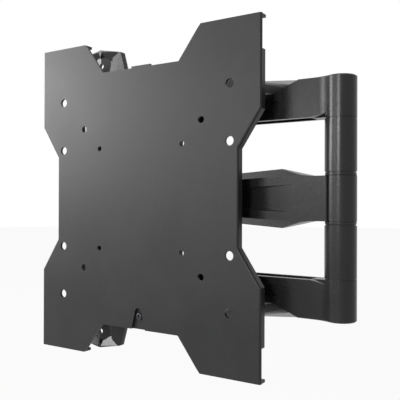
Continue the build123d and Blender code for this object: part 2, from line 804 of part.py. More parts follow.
# Tilt head: levels on the swivel head's centre bolt and carries the tilt ears
with BuildPart() as tilt_head:
    with BuildSketch(Plane.XZ.offset(tilt_base_back)):
        with Locations((head_x, 0)):
            RectangleRounded(2 * tilt_ear_outer, 2 * tilt_base_half, 3)
    extrude(amount=tilt_base)
    for ear_side in (tilt_ear_inner, -tilt_ear_outer):
        with BuildSketch(Plane.YZ.offset(head_x + ear_side)):
            with Locations((-tilt_height, 0)):
                Circle(tilt_ear_nose)
            Polygon(
                (-tilt_base_back, tilt_ear_root),
                (-tilt_base_front, tilt_ear_root),
                (-tilt_height - 2, tilt_ear_nose - 0.4),
                (-tilt_height - 2, -tilt_ear_nose + 0.4),
                (-tilt_base_front, -tilt_ear_root),
                (-tilt_base_back, -tilt_ear_root),
                align=None,
            )
            with Locations((-tilt_height, 0)):
                Circle(tilt_bolt_radius + snug_fit, mode=Mode.SUBTRACT)
        extrude(amount=tilt_ear_outer - tilt_ear_inner)
    with BuildSketch(Plane.XZ.offset(tilt_base_back)):
        with Locations((head_x, 0)):
            Circle(roll_bolt_radius + run_fit)
        for side in (0, 180):
            with BuildLine():
                arc = CenterArc((head_x, 0), roll_slot_radius, side - roll_travel - 2, 2 * roll_travel + 4)
            SlotArc(arc, roll_slot_width)
    extrude(amount=tilt_base, mode=Mode.SUBTRACT)
tilt_head.part.label = "tilt_head"
export_step(tilt_head.part, "parts/tilt_head.step")

with BuildPart() as roll_washer:
    with BuildSketch(Plane.XZ.offset(roll_seat)):
        with Locations((head_x, 0)):
            Circle(roll_washer_radius)
            Circle(roll_bolt_radius + snug_fit, mode=Mode.SUBTRACT)
    extrude(amount=roll_washer_thickness)
roll_washer.part.label = "roll_washer"
export_step(roll_washer.part, "parts/roll_washer.step")

with BuildPart() as roll_bolt:
    with BuildSketch(Plane.XZ.offset(head_web_back)):
        with Locations((head_x, 0)):
            Circle(roll_bolt_radius - snug_fit)
    extrude(amount=roll_seat + roll_washer_thickness - head_web_back)
    with BuildSketch(Plane.XZ.offset(roll_seat + roll_washer_thickness)):
        with Locations((head_x, 0)):
            Circle(roll_bolt_head)
    extrude(amount=roll_bolt_head_height)
    fillet(roll_bolt.edges().sort_by(Axis.Y)[0], radius=1.2)
    with BuildSketch(Plane.XZ.offset(roll_seat + roll_washer_thickness + roll_bolt_head_height)):
        with Locations((head_x, 0)):
            RegularPolygon(roll_bolt_radius - 1, 6, major_radius=False)
    extrude(amount=-key_depth + 0.6, mode=Mode.SUBTRACT)
roll_bolt.part.label = "roll_bolt"
export_step(roll_bolt.part, "parts/roll_bolt.step")

with BuildPart() as roll_lock_screws:
    with BuildSketch(Plane.XZ.offset(head_web_back)):
        with Locations((head_x - roll_slot_radius, 0), (head_x + roll_slot_radius, 0)):
            Circle(roll_screw_radius - snug_fit)
    extrude(amount=roll_seat - head_web_back)
    with BuildSketch(Plane.XZ.offset(roll_seat)):
        with Locations((head_x - roll_slot_radius, 0), (head_x + roll_slot_radius, 0)):
            Circle(roll_screw_head)
    extrude(amount=roll_screw_head_height)
    screw_tops = roll_lock_screws.edges().group_by(Axis.Y)[0]
    fillet(screw_tops, radius=0.8)
    with BuildSketch(Plane.XZ.offset(roll_seat + roll_screw_head_height)):
        with Locations((head_x - roll_slot_radius, 0), (head_x + roll_slot_radius, 0)):
            RegularPolygon(roll_screw_radius - 0.75, 6, major_radius=False)
    extrude(amount=-roll_screw_head_height / 2, mode=Mode.SUBTRACT)
roll_lock_screws.part.label = "roll_lock_screws"
export_step(roll_lock_screws.part, "parts/roll_lock_screws.step")

# Tilt pivots: a bolt, a friction washer and a nut at each ear
with BuildPart() as right_tilt_washer:
    with BuildSketch(Plane.YZ.offset(head_x + tilt_ear_outer + tilt_gap)):
        with Locations((-tilt_height, 0)):
            Circle(tilt_ear_nose)
            Circle(tilt_bolt_radius + snug_fit, mode=Mode.SUBTRACT)
    extrude(amount=flange_inner - tilt_ear_outer - 2 * tilt_gap)
right_tilt_washer.part.label = "right_tilt_washer"
export_step(right_tilt_washer.part, "parts/right_tilt_washer.step")

with BuildPart() as right_tilt_bolt:
    with BuildSketch(Plane.YZ.offset(head_x + tilt_ear_inner - nut_height - thread_end)):
        with Locations((-tilt_height, 0)):
            Circle(tilt_bolt_radius)
    extrude(amount=hook_half + tilt_gap - tilt_ear_inner + nut_height + thread_end)
    chamfer(right_tilt_bolt.edges().sort_by(Axis.X)[0], length=0.5)
    with BuildSketch(Plane.YZ.offset(head_x + hook_half + tilt_gap)):
        with Locations((-tilt_height, 0)):
            Circle(tilt_bolt_head)
    extrude(amount=tilt_bolt_head_height)
    fillet(right_tilt_bolt.edges().sort_by(Axis.X)[-1], radius=1.2)
    with BuildSketch(Plane.YZ.offset(head_x + hook_half + tilt_gap + tilt_bolt_head_height)):
        with Locations((-tilt_height, 0)):
            RegularPolygon(tilt_bolt_radius - 1, 6, major_radius=False)
    extrude(amount=-key_depth, mode=Mode.SUBTRACT)
right_tilt_bolt.part.label = "right_tilt_bolt"
export_step(right_tilt_bolt.part, "parts/right_tilt_bolt.step")

with BuildPart() as right_tilt_nut:
    with BuildSketch(Plane.YZ.offset(head_x + tilt_ear_inner - nut_height)):
        with Locations((-tilt_height, 0)):
            RegularPolygon(tilt_nut_flat / 2, 6, major_radius=False, rotation=30)
            Circle(tilt_bolt_radius + snug_fit, mode=Mode.SUBTRACT)
    extrude(amount=nut_height)
right_tilt_nut.part.label = "right_tilt_nut"
export_step(right_tilt_nut.part, "parts/right_tilt_nut.step")

head_middle = Plane.YZ.offset(head_x)
with BuildPart() as left_tilt_washer:
    add(mirror(right_tilt_washer.part, about=head_middle, mode=Mode.PRIVATE))
left_tilt_washer.part.label = "left_tilt_washer"
export_step(left_tilt_washer.part, "parts/left_tilt_washer.step")

with BuildPart() as left_tilt_bolt:
    add(mirror(right_tilt_bolt.part, about=head_middle, mode=Mode.PRIVATE))
left_tilt_bolt.part.label = "left_tilt_bolt"
export_step(left_tilt_bolt.part, "parts/left_tilt_bolt.step")

with BuildPart() as left_tilt_nut:
    add(mirror(right_tilt_nut.part, about=head_middle, mode=Mode.PRIVATE))
left_tilt_nut.part.label = "left_tilt_nut"
export_step(left_tilt_nut.part, "parts/left_tilt_nut.step")

# Hook bracket: a folded channel that the television plate hangs on
with BuildPart() as hook_bracket:
    with BuildSketch(Plane.XZ.offset(hook_back)):
        Polygon(
            (head_x - hook_half, -hook_bottom),
            (head_x + hook_half, -hook_bottom),
            (head_x + hook_half, hook_top),
            (head_x + hook_tab_half, hook_top),
            (head_x + hook_tab_half, hook_tab_top),
            (head_x - hook_tab_half, hook_tab_top),
            (head_x - hook_tab_half, hook_top),
            (head_x - hook_half, hook_top),
            align=None,
        )
    extrude(amount=sheet)
    for flange_side in (flange_inner, -hook_half):
        with BuildSketch(Plane.YZ.offset(head_x + flange_side)):
            Polygon(
                (-hook_back, flange_long_half + hook_back - flange_long_depth),
                (-flange_long_depth, flange_long_half),
                (-flange_long_depth, flange_ear_half + flange_long_depth - flange_ear_depth),
                (-flange_ear_depth, flange_ear_half),
                (-flange_ear_depth, -flange_ear_half),
                (-flange_long_depth, -flange_ear_half - flange_long_depth + flange_ear_depth),
                (-flange_long_depth, -flange_long_half),
                (-hook_back, -flange_long_half - hook_back + flange_long_depth),
                align=None,
            )
            with Locations((-tilt_height, 0)):
                Circle(tilt_bolt_radius + run_fit, mode=Mode.SUBTRACT)
        extrude(amount=sheet)
    with BuildSketch(Plane.XZ.offset(hook_back)):
        with Locations((head_x, lock_screw_z)):
            Circle(lock_screw_radius + snug_fit)
    extrude(amount=sheet, mode=Mode.SUBTRACT)
    bends = hook_bracket.edges().filter_by(Axis.Z).group_by(Axis.Y)[0]
    fillet(bends.filter_by(lambda e: abs(abs(e.center().X - head_x) - hook_half) < 0.01), radius=1.5)
hook_bracket.part.label = "hook_bracket"
export_step(hook_bracket.part, "parts/hook_bracket.step")

with BuildPart() as lock_screw:
    with BuildSketch(Plane.XZ.offset(lock_screw_tip)):
        with Locations((head_x, lock_screw_z)):
            Circle(lock_screw_radius)
    extrude(amount=hook_front - lock_screw_tip)
    with BuildSketch(Plane.XZ.offset(hook_front)):
        with Locations((head_x, lock_screw_z)):
            Circle(lock_head_radius)
    extrude(amount=lock_head_height)
    fillet(lock_screw.edges().sort_by(Axis.Y)[0], radius=1)
    with BuildSketch(Plane.XZ.offset(hook_front + lock_head_height)):
        with Locations((head_x, lock_screw_z)):
            RegularPolygon(lock_screw_radius - 0.75, 6, major_radius=False)
    extrude(amount=-lock_head_height / 2, mode=Mode.SUBTRACT)
lock_screw.part.label = "lock_screw"
export_step(lock_screw.part, "parts/lock_screw.step")

# Television plate: folded sheet with four ears, hooked over the bracket's top edge
plate_outline = mirrored(
    [
        (waist_half_width, side_waist),
        (plate_half_width, side_kink),
        (plate_half_width, plate_half_height),
        (ear_relief_corner, plate_half_height),
        (ear_inner_corner, plate_half_height - ear_relief),
        (waist_corner, waist_half_height),
    ]
)
notch_round_z = -plate_notch_top - plate_notch_half
with BuildPart() as television_plate:
    with BuildSketch(Plane.XZ.offset(plate_back)) as face:
        with Locations((head_x, 0)):
            Polygon(*plate_outline, align=None)
        waist_corners = face.vertices().filter_by(lambda v: abs(abs(v.Z) - waist_half_height) < 0.01)
        fillet(waist_corners, radius=inner_corner_round)
        with Locations((head_x, 0)):
            Polygon(
                (-plate_notch_mouth, -waist_half_height - 1),
                (-plate_notch_half, notch_round_z),
                (plate_notch_half, notch_round_z),
                (plate_notch_mouth, -waist_half_height - 1),
                align=None,
                mode=Mode.SUBTRACT,
            )
        with Locations((head_x, notch_round_z)):
            Circle(plate_notch_half, mode=Mode.SUBTRACT)
        with Locations((head_x, 0)):
            with GridLocations(pattern_large, pattern_large, 2, 2):
                Circle(hole_large / 2, mode=Mode.SUBTRACT)
            with GridLocations(pattern_large, pattern_small, 2, 2):
                Circle(hole_large / 2, mode=Mode.SUBTRACT)
            with GridLocations(pattern_middle, pattern_middle, 2, 2):
                Circle(hole_middle / 2, mode=Mode.SUBTRACT)
            with GridLocations(pattern_small, pattern_small, 2, 2):
                Circle(hole_small / 2, mode=Mode.SUBTRACT)
    extrude(amount=plate_thickness)
    with BuildSketch(Plane.XZ.offset(folded_depth - side_flange_depth)) as rim:
        with Locations((head_x, 0)):
            Polygon(*plate_outline, align=None)
        offset(amount=-plate_thickness, kind=Kind.INTERSECTION, mode=Mode.SUBTRACT)
        with Locations((head_x, 0)):
            Rectangle(2 * (waist_half_width - 2 * plate_thickness), 4 * plate_half_height, mode=Mode.SUBTRACT)
        band = plate_half_height / 2
        with Locations((head_x, side_flange_half + band), (head_x, -side_flange_half - band)):
            Rectangle(4 * plate_half_width, plate_half_height, mode=Mode.SUBTRACT)
    extrude(amount=side_flange_depth - plate_thickness / 2)
    with BuildSketch(Plane.XZ.offset(folded_depth - end_flange_depth)):
        with Locations((head_x, 0)):
            with GridLocations(
                ear_relief_corner + ear_outer_corner, 2 * plate_half_height - plate_thickness, 2, 2
            ):
                Rectangle(ear_outer_corner - ear_relief_corner, plate_thickness)
    extrude(amount=end_flange_depth - plate_thickness / 2)
    with BuildSketch(Plane.XZ.offset(folded_depth - tab_depth)):
        with Locations((head_x, waist_half_height - plate_thickness / 2)):
            with GridLocations(tab_inner + tab_outer, 0, 2, 1):
                Rectangle(tab_outer - tab_inner, plate_thickness)
    extrude(amount=tab_depth - plate_thickness / 2)
    front_edges = television_plate.edges().filter_by(GeomType.LINE).group_by(Axis.Y)[0]
    bends = front_edges.filter_by(lambda e: abs(e.center().X - head_x) > waist_half_width - 1)
    fillet(bends, radius=bend_radius)
television_plate.part.label = "television_plate"
export_step(television_plate.part, "parts/television_plate.step")
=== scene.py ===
"""Looks of a swivel television wall mount, folded against the wall.

The frame brings every casting, sheet and bolt. This script coats them, cuts the
threads on the bolt ends that show, and sets the studio around the mount.
"""

import math

import bmesh
import bpy
from bpy.props import FloatProperty, FloatVectorProperty, IntProperty, PointerProperty
from mathutils import Matrix, Vector


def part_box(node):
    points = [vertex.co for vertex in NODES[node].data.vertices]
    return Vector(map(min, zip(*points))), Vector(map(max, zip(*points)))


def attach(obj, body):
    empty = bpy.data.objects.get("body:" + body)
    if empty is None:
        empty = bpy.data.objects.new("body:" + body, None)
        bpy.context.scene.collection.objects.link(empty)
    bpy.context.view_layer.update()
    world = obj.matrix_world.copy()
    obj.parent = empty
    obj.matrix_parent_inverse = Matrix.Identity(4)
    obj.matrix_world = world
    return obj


bl_info = {
    "name": "Swivel television wall mount",
    "version": (1, 0, 0),
    "blender": (4, 5, 0),
    "location": "View3D > Sidebar > Wall Mount",
    "description": "Coats, threads and studio of a folding television wall mount",
    "category": "Object",
}

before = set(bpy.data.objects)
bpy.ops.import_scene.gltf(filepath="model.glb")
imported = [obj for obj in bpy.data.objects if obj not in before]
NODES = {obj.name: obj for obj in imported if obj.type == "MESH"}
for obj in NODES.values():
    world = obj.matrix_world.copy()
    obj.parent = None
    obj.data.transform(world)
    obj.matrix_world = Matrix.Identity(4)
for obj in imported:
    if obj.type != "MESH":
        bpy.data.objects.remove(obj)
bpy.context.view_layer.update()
MM = 0.001

# Threads: the ridge's radius and its depth in the bolt, as shares of the pitch and ridge
RIDGE_SHARE = 0.42
SUNK_SHARE = 0.35
HOOK_SHEET = 2.2 * MM
LOCK_SCREW_RADIUS = 2.0 * MM
PIN_RADIUS = 4.0 * MM
TILT_BOLT_RADIUS = 3.0 * MM

# Studio, in metres and degrees
POST = (0.29, -0.03, 0.0)
MIDDLE = (0.12, -0.05, 0.0)
ARMS = (0.23, -0.03, 0.0)
LAMPS = {
    "key_light": {"place": (-1.69, -1.14, 0.50), "target": POST, "size": (1.15, 0.66)},
    "top_light": {"place": (0.1, -0.35, 1.7), "target": MIDDLE, "size": (1.6, 1.2)},
    "fill_light": {"place": (-0.46, -1.64, 0.27), "target": ARMS, "size": (0.72, 0.4)},
    "front_light": {"place": (0.33, -1.6, 0.34), "target": POST, "size": (0.36, 0.5)},
}
CAMERA_PLACE = (0.45887, -0.51212, -0.00298)
CAMERA_TURN = (90.158, -0.172, 32.4995)
FLOOR_REACH = 6.0
FLOOR_FLAT = 3.0
FLOOR_DISH = 0.004
FLOOR_GLOW = 0.94


class Flow:
    """A socket that grows Math nodes as it is written into an expression."""

    def __init__(self, maker, socket):
        self.maker = maker
        self.socket = socket

    def _math(self, operation, *values):
        return self.maker.add("ShaderNodeMath", {"operation": operation}, values)

    def __add__(self, other):
        return self._math("ADD", self, other)

    def __sub__(self, other):
        return self._math("SUBTRACT", self, other)

    def __mul__(self, other):
        return self._math("MULTIPLY", self, other)

    def __truediv__(self, other):
        return self._math("DIVIDE", self, other)

    def __rsub__(self, other):
        return self._math("SUBTRACT", other, self)

    __radd__ = __add__
    __rmul__ = __mul__

    def between(self, low, high):
        """Ramps smoothly from 0 at low to 1 at high."""
        return self.maker.add(
            "ShaderNodeMapRange",
            {"interpolation_type": "SMOOTHSTEP"},
            {"Value": self, "From Min": low, "From Max": high},
        )

    def or_else(self, other):
        """The larger of the two."""
        return self._math("MAXIMUM", self, other)

    def output(self, name):
        """Another output of the same node."""
        return Flow(self.maker, self.socket.node.outputs[name])

    def into(self, socket):
        """Links to an input socket."""
        self.maker.links.new(self.socket, socket)


class Tree:
    """A node tree that grows one node at a time."""

    def __init__(self, tree):
        self.nodes = tree.nodes
        self.links = tree.links

    def add(self, kind, settings, values, output=0):
        """Adds a node, its settings first, then the values or links of its sockets."""
        node = self.nodes.new(kind)
        for key, value in settings.items():
            setattr(node, key, value)
        pairs = values.items() if isinstance(values, dict) else enumerate(values)
        for key, value in pairs:
            if isinstance(value, Flow):
                value.into(node.inputs[key])
            else:
                node.inputs[key].default_value = value
        return Flow(self, node.outputs[output]) if node.outputs else None

    def shown(self):
        """One on rays from the camera, from mirrors and through clear stuff, else nought."""
        camera = self.add("ShaderNodeLightPath", {}, {}, "Is Camera Ray")
        mirrored = camera.or_else(camera.output("Is Glossy Ray"))
        return mirrored.or_else(camera.output("Is Transmission Ray"))


class Coat(Tree):
    """One material and the nodes it is made of."""

    def __init__(self, name):
        self.material = bpy.data.materials.new(name)
        self.material.use_nodes = True
        super().__init__(self.material.node_tree)
        self.surface = self.nodes["Principled BSDF"]
        self.place = self.add("ShaderNodeTexCoord", {}, {}, "Object")

    def stretched(self, x, y, z):
        """Object coordinates scaled along each axis."""
        return self.add("ShaderNodeMapping", {}, {"Vector": self.place, "Scale": (x, y, z)})

    def noise(self, scale, detail=2.0, vector=None):
        """Grey noise with features one over scale metres wide."""
        values = {"Vector": vector or self.place, "Scale": scale, "Detail": detail}
        return self.add("ShaderNodeTexNoise", {}, values, "Fac")

    def cells(self, scale):
        """Distance to the nearest of many scattered points, for specks."""
        return self.add(
            "ShaderNodeTexVoronoi", {}, {"Vector": self.place, "Scale": scale}, "Distance"
        )

    def blend(self, mask, first, second):
        """Mixes two colours by a mask."""
        values = {"Factor": mask, 6: first, 7: second}
        return self.add("ShaderNodeMix", {"data_type": "RGBA"}, values, 2)

    def bump(self, height, strength, distance, under=None):
        """Raises a height map, on top of another bump where one is given."""
        values = {"Height": height, "Strength": strength, "Distance": distance}
        if under:
            values["Normal"] = under
        return self.add("ShaderNodeBump", {}, values)

    def set(self, **values):
        """Sets or links the surface shader's own sockets, underscores for spaces."""
        for key, value in values.items():
            socket = self.surface.inputs[key.replace("_", " ")]
            if isinstance(value, Flow):
                value.into(socket)
            else:
                socket.default_value = value
        return self.material


def rgba(colour):
    """A colour property as the four numbers a socket takes."""
    return (colour[0], colour[1], colour[2], 1.0)


def shade(colour, factor):
    """The same colour, lighter or darker."""
    return (colour[0] * factor, colour[1] * factor, colour[2] * factor, 1.0)


class PowderCoatSettings(bpy.types.PropertyGroup):
    """The black coat on sheets, castings and tube."""

    sheet_colour: FloatVectorProperty(
        name="Sheet colour", description="Coat on the folded sheets", subtype="COLOR",
        default=(0.016, 0.016, 0.0163), min=0.0, max=1.0,
    )
    cast_colour: FloatVectorProperty(
        name="Casting colour", description="Coat on the die castings", subtype="COLOR",
        default=(0.014, 0.014, 0.014), min=0.0, max=1.0,
    )
    sheet_roughness: FloatProperty(
        name="Sheet roughness", description="Gloss of the coat on the sheets",
        default=0.42, min=0.0, max=1.0,
    )
    cast_roughness: FloatProperty(
        name="Casting roughness", description="Gloss of the coat on the castings",
        default=0.28, min=0.0, max=1.0,
    )
    post_roughness: FloatProperty(
        name="Post roughness", description="Gloss of the coat on the post's tube",
        default=0.24, min=0.0, max=1.0,
    )
    specular_level: FloatProperty(
        name="Specular level", description="Strength of the coat's mirror-like part",
        default=0.27, min=0.0, max=1.0,
    )
    peel_size: FloatProperty(
        name="Peel size", description="Width of the ripples in the coat", subtype="DISTANCE",
        unit="LENGTH", default=0.0016, min=0.0002, max=0.01,
    )


class MetalSettings(bpy.types.PropertyGroup):
    """Bare, plated and moulded small pieces."""

    zinc_colour: FloatVectorProperty(
        name="Zinc colour", description="Bright plating of bolts and shaft", subtype="COLOR",
        default=(0.60, 0.61, 0.63), min=0.0, max=1.0,
    )
    black_colour: FloatVectorProperty(
        name="Black plating", description="Black plating of the head's bolts", subtype="COLOR",
        default=(0.030, 0.030, 0.033), min=0.0, max=1.0,
    )
    nylon_colour: FloatVectorProperty(
        name="Nylon colour", description="Bushes, caps and friction discs", subtype="COLOR",
        default=(0.012, 0.012, 0.013), min=0.0, max=1.0,
    )


class ThreadSettings(bpy.types.PropertyGroup):
    """The threads on the bolt ends that show."""

    fine_pitch: FloatProperty(
        name="Lock screw pitch", description="Rise of the lock screw's thread in one turn",
        subtype="DISTANCE", unit="LENGTH", default=0.0007, min=0.0003, max=0.003,
    )
    coarse_pitch: FloatProperty(
        name="Bolt pitch", description="Rise of the bolts' threads in one turn",
        subtype="DISTANCE", unit="LENGTH", default=0.001, min=0.0003, max=0.003,
    )
    facets: IntProperty(
        name="Facets", description="Steps in one turn of a thread", default=24, min=8, max=64
    )


class StudioSettings(bpy.types.PropertyGroup):
    """Camera, floor and lamps."""

    focal_length: FloatProperty(
        name="Focal length", description="Lens of the camera in millimetres",
        default=52.69, min=10.0, max=300.0,
    )
    floor_height: FloatProperty(
        name="Floor height", description="Level of the floor below the mount",
        subtype="DISTANCE", unit="LENGTH", default=-0.32, min=-3.0, max=0.0,
    )
    key_power: FloatProperty(
        name="Key light", description="Power of the large soft lamp at the upper left",
        default=46.0, min=0.0, max=500.0,
    )
    top_power: FloatProperty(
        name="Top light", description="Power of the soft lamp overhead",
        default=0.5, min=0.0, max=500.0,
    )
    front_power: FloatProperty(
        name="Front light", description="Power of the soft lamp in front of the mount",
        default=11.0, min=0.0, max=500.0,
    )
    fill_power: FloatProperty(
        name="Fill light", description="Power of the dim lamp between the key and the front light",
        default=4.5, min=0.0, max=500.0,
    )
    room_level: FloatProperty(
        name="Room level", description="Light that comes from all round",
        default=0.2, min=0.0, max=2.0,
    )


class MountSettings(bpy.types.PropertyGroup):
    """Everything a user would change on the mount and its studio."""

    coat: PointerProperty(type=PowderCoatSettings)
    metal: PointerProperty(type=MetalSettings)
    thread: PointerProperty(type=ThreadSettings)
    studio: PointerProperty(type=StudioSettings)


def powder_coat(name, settings, colour, roughness, casting=0.0, drawn=0.0):
    """Satin black powder coat: soft ripples, fine grain, faint clouds and specks.

    casting adds the slow waves of a cast skin, drawn the faint rings of turned tube.
    """
    coat = Coat(name)
    ripples = coat.noise(1.0 / settings.peel_size, detail=2.0)
    grain = coat.noise(5.0 / settings.peel_size, detail=1.0)
    clouds = coat.noise(22.0, detail=3.0)
    specks = 1.0 - coat.cells(420.0).between(0.05, 0.16)
    tone = clouds.between(0.3, 0.7)
    body = coat.blend(tone, shade(colour, 0.90), shade(colour, 1.12))
    body = coat.blend(specks * 0.35, body, shade(colour, 1.9))
    normal = coat.bump(ripples, strength=0.10, distance=0.0006)
    normal = coat.bump(grain, strength=0.12, distance=0.00012, under=normal)
    if casting:
        waves = coat.noise(70.0, detail=1.5)
        normal = coat.bump(waves, strength=casting, distance=0.0012, under=normal)
    if drawn:
        rings = coat.noise(60.0, detail=3.0, vector=coat.stretched(0.02, 0.02, 14.0))
        normal = coat.bump(rings, strength=drawn, distance=0.0002, under=normal)
    gloss = roughness + (ripples - 0.5) * 0.08 + (clouds - 0.5) * 0.10
    return coat.set(
        Base_Color=body, Roughness=gloss, Normal=normal, Metallic=0.0,
        Specular_IOR_Level=settings.specular_level,
    )


def zinc_plate(name, colour):
    """Bright plating over turned steel, with fine rings and a cloudy dullness."""
    coat = Coat(name)
    rings = coat.noise(90.0, detail=4.0, vector=coat.stretched(1.0, 1.0, 24.0))
    clouds = coat.noise(140.0, detail=3.0)
    body = coat.blend(clouds.between(0.35, 0.65), shade(colour, 0.85), rgba(colour))
    gloss = 0.26 + (clouds - 0.5) * 0.2 + (rings - 0.5) * 0.12
    return coat.set(
        Base_Color=body, Roughness=gloss, Metallic=1.0,
        Normal=coat.bump(rings, strength=0.15, distance=0.0001),
    )


def black_plate(name, colour):
    """Black plated bolts, a little oily, with worn lighter grain."""
    coat = Coat(name)
    grain = coat.noise(900.0, detail=3.0)
    clouds = coat.noise(160.0, detail=2.0)
    body = coat.blend(grain.between(0.45, 0.75), rgba(colour), shade(colour, 1.8))
    gloss = 0.34 + (clouds - 0.5) * 0.22
    return coat.set(
        Base_Color=body, Roughness=gloss, Metallic=0.55,
        Normal=coat.bump(grain, strength=0.1, distance=0.0001),
    )


def moulded_nylon(name, colour):
    """Matt black nylon with the fine spark grain of its mould."""
    coat = Coat(name)
    grain = coat.noise(2600.0, detail=2.0)
    swirl = coat.noise(120.0, detail=2.0)
    body = coat.blend(swirl.between(0.3, 0.7), shade(colour, 0.85), shade(colour, 1.2))
    gloss = 0.55 + (grain - 0.5) * 0.12
    return coat.set(
        Base_Color=body, Roughness=gloss, Metallic=0.0,
        Normal=coat.bump(grain, strength=0.25, distance=0.0001),
    )


MATERIALS = {}


def material(kind):
    """The finish of that name, made once from the settings."""
    if kind not in MATERIALS:
        mount = bpy.context.scene.wall_mount
        coat, metal = mount.coat, mount.metal
        recipes = {
            "sheet coat": lambda: powder_coat(
                "sheet_coat", coat, coat.sheet_colour, coat.sheet_roughness
            ),
            "cast coat": lambda: powder_coat(
                "cast_coat", coat, coat.cast_colour, coat.cast_roughness, casting=0.10
            ),
            "tube coat": lambda: powder_coat(
                "tube_coat", coat, coat.cast_colour, coat.post_roughness, drawn=0.12
            ),
            "zinc": lambda: zinc_plate("zinc_plate", metal.zinc_colour),
            "black plate": lambda: black_plate("black_plate", metal.black_colour),
            "nylon": lambda: moulded_nylon("moulded_nylon", metal.nylon_colour),
        }
        MATERIALS[kind] = recipes[kind]()
    return MATERIALS[kind]


def dress(kind, *names):
    """Gives CAD nodes a finish in place of the frame's flat one."""
    for name in names:
        slots = NODES[name].data.materials
        slots.clear()
        slots.append(material(kind))


def thread_tree():
    """A helical ridge around +Z from the origin, with its sizes as named inputs."""
    group = bpy.data.node_groups.new("bolt_thread", "GeometryNodeTree")
    face = group.interface
    face.new_socket("Geometry", in_out="INPUT", socket_type="NodeSocketGeometry")
    for label, kind in (
        ("Radius", "NodeSocketFloat"), ("Length", "NodeSocketFloat"), ("Pitch", "NodeSocketFloat"),
        ("Ridge", "NodeSocketFloat"), ("Facets", "NodeSocketInt"), ("Finish", "NodeSocketMaterial"),
    ):
        face.new_socket(label, in_out="INPUT", socket_type=kind)
    face.new_socket("Geometry", in_out="OUTPUT", socket_type="NodeSocketGeometry")
    tree = Tree(group)
    given = tree.add("NodeGroupInput", {}, {}).output
    helix = tree.add("GeometryNodeCurveSpiral", {}, {
        "Resolution": given("Facets"), "Rotations": given("Length") / given("Pitch"),
        "Start Radius": given("Radius"), "End Radius": given("Radius"), "Height": given("Length"),
    })
    section = tree.add(
        "GeometryNodeCurvePrimitiveCircle", {}, {"Resolution": 4, "Radius": given("Ridge")}
    )
    ridge = tree.add("GeometryNodeCurveToMesh", {}, {
        "Curve": helix, "Profile Curve": section, "Fill Caps": True,
    })
    real = tree.add("GeometryNodeRealizeInstances", {}, {"Geometry": ridge})
    coated = tree.add(
        "GeometryNodeSetMaterial", {}, {"Geometry": real, "Material": given("Finish")}
    )
    tree.add("NodeGroupOutput", {}, {"Geometry": coated})
    return group


def set_input(modifier, label, value):
    """Sets a modifier's input by its socket's identifier."""
    for item in modifier.node_group.interface.items_tree:
        if item.in_out == "INPUT" and item.name == label:
            modifier[item.identifier] = value


def cut_thread(name, start, along, length, radius, pitch, body):
    """Winds a thread on a bolt end from start, in the direction along."""
    ridge = pitch * RIDGE_SHARE
    base = bpy.data.objects.new(name + "_base", bpy.data.meshes.new(name + "_base"))
    bpy.context.scene.collection.objects.link(base)
    modifier = base.modifiers.new("thread", "NODES")
    modifier.node_group = bpy.data.node_groups.get("bolt_thread") or thread_tree()
    sizes = {
        "Radius": radius - ridge * SUNK_SHARE, "Length": length - 2 * ridge, "Pitch": pitch,
        "Ridge": ridge, "Facets": bpy.context.scene.wall_mount.thread.facets,
        "Finish": material("black plate"),
    }
    for label, value in sizes.items():
        set_input(modifier, label, value)
    graph = bpy.context.evaluated_depsgraph_get()
    mesh = bpy.data.meshes.new_from_object(base.evaluated_get(graph))
    bpy.data.objects.remove(base)
    mesh.name = name
    turn = Vector((0, 0, 1)).rotation_difference(Vector(along)).to_matrix().to_4x4()
    lead_in = Matrix.Translation(Vector(start) + Vector(along) * ridge)
    mesh.transform(lead_in @ turn)
    outward(mesh)
    thread = bpy.data.objects.new(name, mesh)
    bpy.context.scene.collection.objects.link(thread)
    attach(thread, body)


def outward(mesh):
    """Turns every face of a closed mesh outwards."""
    shape = bmesh.new()
    shape.from_mesh(mesh)
    bmesh.ops.remove_doubles(shape, verts=shape.verts, dist=1e-7)
    bmesh.ops.recalc_face_normals(shape, faces=shape.faces)
    shape.to_mesh(mesh)
    shape.free()


class MOUNT_OT_coat_bracket(bpy.types.Operator):
    """Coat the wall bracket's casting"""

    bl_idname = "mount.coat_bracket"
    bl_label = "Wall Bracket"

    def execute(self, context):
        dress("cast coat", "wall_bracket")
        return {"FINISHED"}


class MOUNT_OT_coat_arms(bpy.types.Operator):
    """Coat the two wall arms and the forearm"""

    bl_idname = "mount.coat_arms"
    bl_label = "Arms"

    def execute(self, context):
        dress("cast coat", "upper_arm", "lower_arm", "forearm")
        return {"FINISHED"}


class MOUNT_OT_coat_post(bpy.types.Operator):
    """Coat the elbow post's sleeves and rings, and finish what is inside it"""

    bl_idname = "mount.coat_post"
    bl_label = "Elbow Post"

    def execute(self, context):
        dress("tube coat", "upper_sleeve", "lower_sleeve", "upper_elbow_ring", "lower_elbow_ring")
        dress("nylon", "upper_elbow_cap", "lower_elbow_cap", "upper_elbow_bush", "lower_elbow_bush")
        dress("zinc", "elbow_shaft", "upper_elbow_washer", "lower_elbow_washer")
        dress("zinc", "upper_elbow_screw", "lower_elbow_screw")
        return {"FINISHED"}


class MOUNT_OT_finish_wall_pivots(bpy.types.Operator):
    """Finish the bushes, bolts, washers and caps of the wall pivots"""

    bl_idname = "mount.finish_wall_pivots"
    bl_label = "Wall Pivots"

    def execute(self, context):
        for level in ("upper", "lower"):
            dress("nylon", level + "_pivot_bush", level + "_pivot_cap")
            dress("zinc", level + "_pivot_bolt", level + "_pivot_washer")
        return {"FINISHED"}


